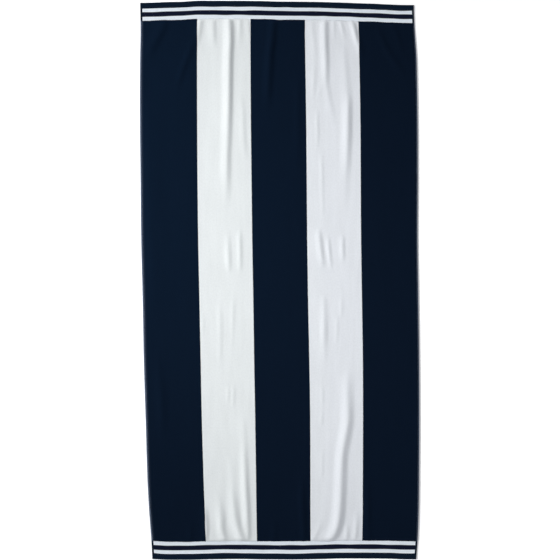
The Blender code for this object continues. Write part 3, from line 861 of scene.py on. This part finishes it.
# The hems: the same dyed cotton turned over twice and sewn flat, so they look smooth and deep in colour.
# Beside the borders the side hem takes in a little more of the cloth, and elsewhere it is greyer, partly
# its own colour and partly a painted highlight where its rolled edge catches the lamp, painted stronger on
# the left, towards the lamp, than on the right. Its weave is drawn 1.2 mm wide, coarser than the real one.
NAVY_HEM = "#091828"
NAVY_SIDE = "#3A4454"
BETWEEN_SIDES = (0.3, 0.5)
SIDE_GREY_START = -3
SIDE_GREY_FULL = 2
HEM_WEAVE = 1.2 * MM
HEM_DEPTH = 0.2 * MM
HEM_SPOTS = (500, 500)
HEM_SHADE = 0.12
hem, tree, shader = new_material(
    "dyed cotton hem", Roughness=0.95, Specular_IOR_Level=0.05, Sheen_Weight=0.03
)
cloth_place = add_node(tree, "ShaderNodeUVMap", uv_map="cloth").outputs[0]
parts = add_node(tree, "ShaderNodeSeparateXYZ", links={0: cloth_place})
# The left side hem is painted lighter than the right: a painted highlight towards the lamp.
on_right = ramp(tree, parts.outputs["X"], *BETWEEN_SIDES)
side_colour = mixed(tree, on_right, linear(SIDE_GREY_AND_HIGHLIGHT), linear(NAVY_SIDE))
past_border = ramp(
    tree, end_distance(tree, cloth_place), (BORDER + SIDE_GREY_START) * MM, (BORDER + SIDE_GREY_FULL) * MM
)
colour = mixed(tree, past_border, linear(NAVY_HEM), side_colour)
colour = shaded(tree, colour, cloth_place, HEM_SPOTS, HEM_SHADE)
tree.links.new(colour, shader.inputs["Base Color"])
weave = add_node(
    tree, "ShaderNodeTexNoise", {"Scale": 1 / HEM_WEAVE, "Detail": 2.0}, {"Vector": cloth_place},
    noise_dimensions="2D",
)
relief = add_node(
    tree, "ShaderNodeBump", {"Strength": 0.6, "Distance": HEM_DEPTH}, {"Height": weave.outputs["Fac"]}
)
tree.links.new(relief.outputs[0], shader.inputs["Normal"])

finishes = (pile, loops, border, hem)
for material in finishes:
    cloth.data.materials.append(material)
cloth_map = cloth.data.uv_layers["cloth"].data
for face in cloth.data.polygons:
    face.use_smooth = True
    middle = sum((cloth_map[loop].uv for loop in face.loop_indices), Vector((0, 0)))
    middle = middle / face.loop_total / MM
    end, side = from_end(middle.y), from_side(middle.x)
    if end < END_HEM or side < (BORDER_SIDE_HEM if end < BORDER else SIDE_HEM):
        finish = hem
    elif end < BORDER:
        finish = border
    else:
        finish = pile if face.normal.z > 0 else loops
    face.material_index = finishes.index(finish)

# The sewing: one row of dark blue lockstitch in the groove of each turned edge, on the face. Each stitch
# is a short length of spun polyester thread that dives into the cloth at both ends. It is smoother than
# the cotton round it and shines a little, and its twist is drawn coarser than the real one, to show.
STITCH = 3.0
THREAD = 0.62
THREAD_SIDES = 6
STITCH_STEPS = (-0.47, -0.3, 0, 0.3, 0.47)
STITCH_RISE = (-0.4, 0.14, 0.3, 0.14, -0.4)
STITCH_GIRTH = (0.7, 1, 1, 1, 0.7)
STITCH_WANDER = 0.08
CHANCE_SEED = 7
chance = np.random.default_rng(CHANCE_SEED)


def seam(start, end):
    """The middles of the stitches from start up to end, and how long each is."""
    count = int((end - start) / STITCH)
    pitch = (end - start) / count
    return start + (np.arange(count) + 0.5) * pitch, pitch


def face_point(across, along):
    """Where a place of the cloth's face lies."""
    x, y, z = underside(across, along)
    return np.stack([x, y, z + thickness(across, along)], -1)


def level(vectors):
    """The vectors laid level and one long."""
    flat = vectors * (1, 1, 0)
    return flat / np.linalg.norm(flat, axis=-1, keepdims=True)


def tube_mesh(name, rings, tips=None):
    """One mesh of many short closed tubes, each with its rings of points and a flat end or a tip."""
    count, levels, sides, _ = rings.shape
    points = rings.reshape(count, levels * sides, 3)
    if tips is not None:
        points = np.concatenate([points, tips[:, None]], 1)
    turn = [(side, (side + 1) % sides) for side in range(sides)]
    faces = [
        (step * sides + a, step * sides + b, (step + 1) * sides + b, (step + 1) * sides + a)
        for step in range(levels - 1)
        for a, b in turn
    ]
    faces.append(tuple(reversed(range(sides))))
    last = (levels - 1) * sides
    if tips is None:
        faces.append(tuple(range(last, last + sides)))
    else:
        faces += [(last + a, last + b, last + sides) for a, b in turn]
    starts = np.arange(count) * points.shape[1]
    mesh = bpy.data.meshes.new(name)
    mesh.from_pydata(
        (points.reshape(-1, 3) * MM).tolist(), [],
        [tuple(int(start) + corner for corner in face) for start in starts for face in faces],
    )
    for face in mesh.polygons:
        face.use_smooth = True
    return mesh


across_seam, across_pitch = seam(SIDE_SEAM, CUT_WIDTH - SIDE_SEAM)
along_seam, along_pitch = seam(END_SEAM, CUT_LENGTH - END_SEAM)
steps = np.array(STITCH_STEPS)
stitch_rings = []
for place in (END_SEAM, CUT_LENGTH - END_SEAM, SIDE_SEAM, CUT_WIDTH - SIDE_SEAM):
    crosswise = place in (END_SEAM, CUT_LENGTH - END_SEAM)
    middles, pitch = (across_seam, across_pitch) if crosswise else (along_seam, along_pitch)
    run = middles[:, None] + steps * pitch
    beside = place + STITCH_WANDER * chance.uniform(-1, 1, (len(middles), 1))
    beside = np.repeat(beside, len(steps), 1)
    centres = face_point(run, beside) if crosswise else face_point(beside, run)
    centres[..., 2] += np.array(STITCH_RISE)
    forward = level(centres[:, -1:] - centres[:, :1])
    sideways = np.stack([-forward[..., 1], forward[..., 0], forward[..., 2]], -1)
    girth = THREAD / 2 * np.array(STITCH_GIRTH)[None, :, None, None]
    angles = np.arange(THREAD_SIDES)[:, None] * 2 * pi / THREAD_SIDES
    spokes = np.cos(angles) * sideways[:, :, None] + np.sin(angles) * np.array([0, 0, 1])
    stitch_rings.append(centres[:, :, None] + girth * spokes)
stitch_mesh = tube_mesh("towel_stitches", np.concatenate(stitch_rings))
stitches = bpy.data.objects.new("towel_stitches", stitch_mesh)
scene.collection.objects.link(stitches)

NAVY_THREAD = "#121C30"
THREAD_SHADE = "#0A1220"
THREAD_PLY = 0.9 * MM
PLY_DEPTH = 0.1 * MM
thread, tree, shader = new_material("spun polyester thread", Roughness=0.6, Specular_IOR_Level=0.3)
thread_place = add_node(tree, "ShaderNodeTexCoord").outputs["Object"]
plies = add_node(
    tree, "ShaderNodeTexWave", {"Scale": 1 / THREAD_PLY / 2, "Distortion": 0.5}, {"Vector": thread_place},
    bands_direction="DIAGONAL",
)
colour = mixed(tree, plies.outputs["Fac"], linear(THREAD_SHADE), linear(NAVY_THREAD))
tree.links.new(colour, shader.inputs["Base Color"])
relief = add_node(
    tree, "ShaderNodeBump", {"Strength": 0.5, "Distance": PLY_DEPTH}, {"Height": plies.outputs["Fac"]}
)
tree.links.new(relief.outputs[0], shader.inputs["Normal"])
stitches.data.materials.append(thread)
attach(stitches, "root")

# The edge of the pile: beside the flat borders and the side hems the last cotton tufts have no others to
# lean on, so they spread out over the edge and soften its line. Each is rooted in the cloth, tapers and
# has the colour of the pile behind it. They are fewer and thicker than the real ones, so that they show.
TUFT_PITCH = 1.35
TUFT_SIDES = 4
TUFT_BACK = (1.3, 0.7, 0.0, -0.6)
TUFT_RISE = (0.8, 2.1, 2.7, 2.5)
TUFT_GIRTH = (0.7, 0.75, 0.5)
TUFT_WANDER = 0.45
TUFT_SHIFT = 0.3
HEIGHT_RANGE = (0.92, 1.08)
GIRTH_RANGE = (0.85, 1.15)
COLOUR_FROM = 2.0
tuft_rings, tuft_tips, tuft_places = [], [], []
for edge in ("foot", "head", "left", "right"):
    crosswise, beyond = edge in ("foot", "head"), edge in ("head", "right")
    margin, whole = (SIDE_HEM, CUT_WIDTH) if crosswise else (BORDER, CUT_LENGTH)
    depth, reach = (BORDER, CUT_LENGTH) if crosswise else (SIDE_HEM, CUT_WIDTH)
    middles = np.arange(margin + TUFT_PITCH, whole - margin, TUFT_PITCH)
    middles = middles + TUFT_PITCH * chance.uniform(-TUFT_SHIFT, TUFT_SHIFT, len(middles))
    back = np.array(TUFT_BACK) + TUFT_WANDER * chance.uniform(-1, 1, (len(middles), 1))
    inward = reach - (depth + back) if beyond else depth + back
    drift = TUFT_WANDER * chance.uniform(-1, 1, (len(middles), 1))
    run = middles[:, None] + drift * np.linspace(0, 1, len(TUFT_BACK))
    x, y, z = underside(*((run, inward) if crosswise else (inward, run)))
    rise = np.array(TUFT_RISE) * chance.uniform(*HEIGHT_RANGE, (len(middles), 1))
    centres = np.stack([x, y, z + rise], -1)

    # Each of the three rings is square to the way from the point before it to the one after it.
    axes = centres[:, (1, 2, 3)] - centres[:, (0, 0, 1)]
    axes /= np.linalg.norm(axes, axis=-1, keepdims=True)
    crossing = np.zeros_like(axes)
    crossing[..., 0 if crosswise else 1] = 1
    rising = np.cross(axes, crossing)
    rising /= np.linalg.norm(rising, axis=-1, keepdims=True)
    crossing = np.cross(rising, axes)
    angles = np.arange(TUFT_SIDES)[:, None] * 2 * pi / TUFT_SIDES
    spokes = np.cos(angles) * crossing[:, :, None] + np.sin(angles) * rising[:, :, None]
    girth = np.array(TUFT_GIRTH)[None, :, None, None]
    girth = girth * chance.uniform(*GIRTH_RANGE, (len(middles), 1, 1, 1))
    tuft_rings.append(centres[:, :-1, None] + girth * spokes)
    tuft_tips.append(centres[:, -1])
    within = depth + COLOUR_FROM
    within = np.full(len(middles), reach - within if beyond else within)
    tuft_places.append(np.stack([middles, within] if crosswise else [within, middles], -1))
tuft_mesh = tube_mesh("towel_pile_edge", np.concatenate(tuft_rings), np.concatenate(tuft_tips))
tuft_places = np.concatenate(tuft_places) * MM
tuft_map = tuft_mesh.uv_layers.new(name="cloth")
loops_each = len(tuft_mesh.loops) // len(tuft_places)
tuft_map.data.foreach_set("uv", np.repeat(tuft_places, loops_each, 0).ravel())
tufts = bpy.data.objects.new("towel_pile_edge", tuft_mesh)
scene.collection.objects.link(tufts)
tufts.data.materials.append(pile)
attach(tufts, "root")

# The finished towel: the cloth, with its sewing and the edge of its pile, is one sheet that lies on the
# board and shows in place of the plain solid.
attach(cloth, "root")
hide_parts("towel")
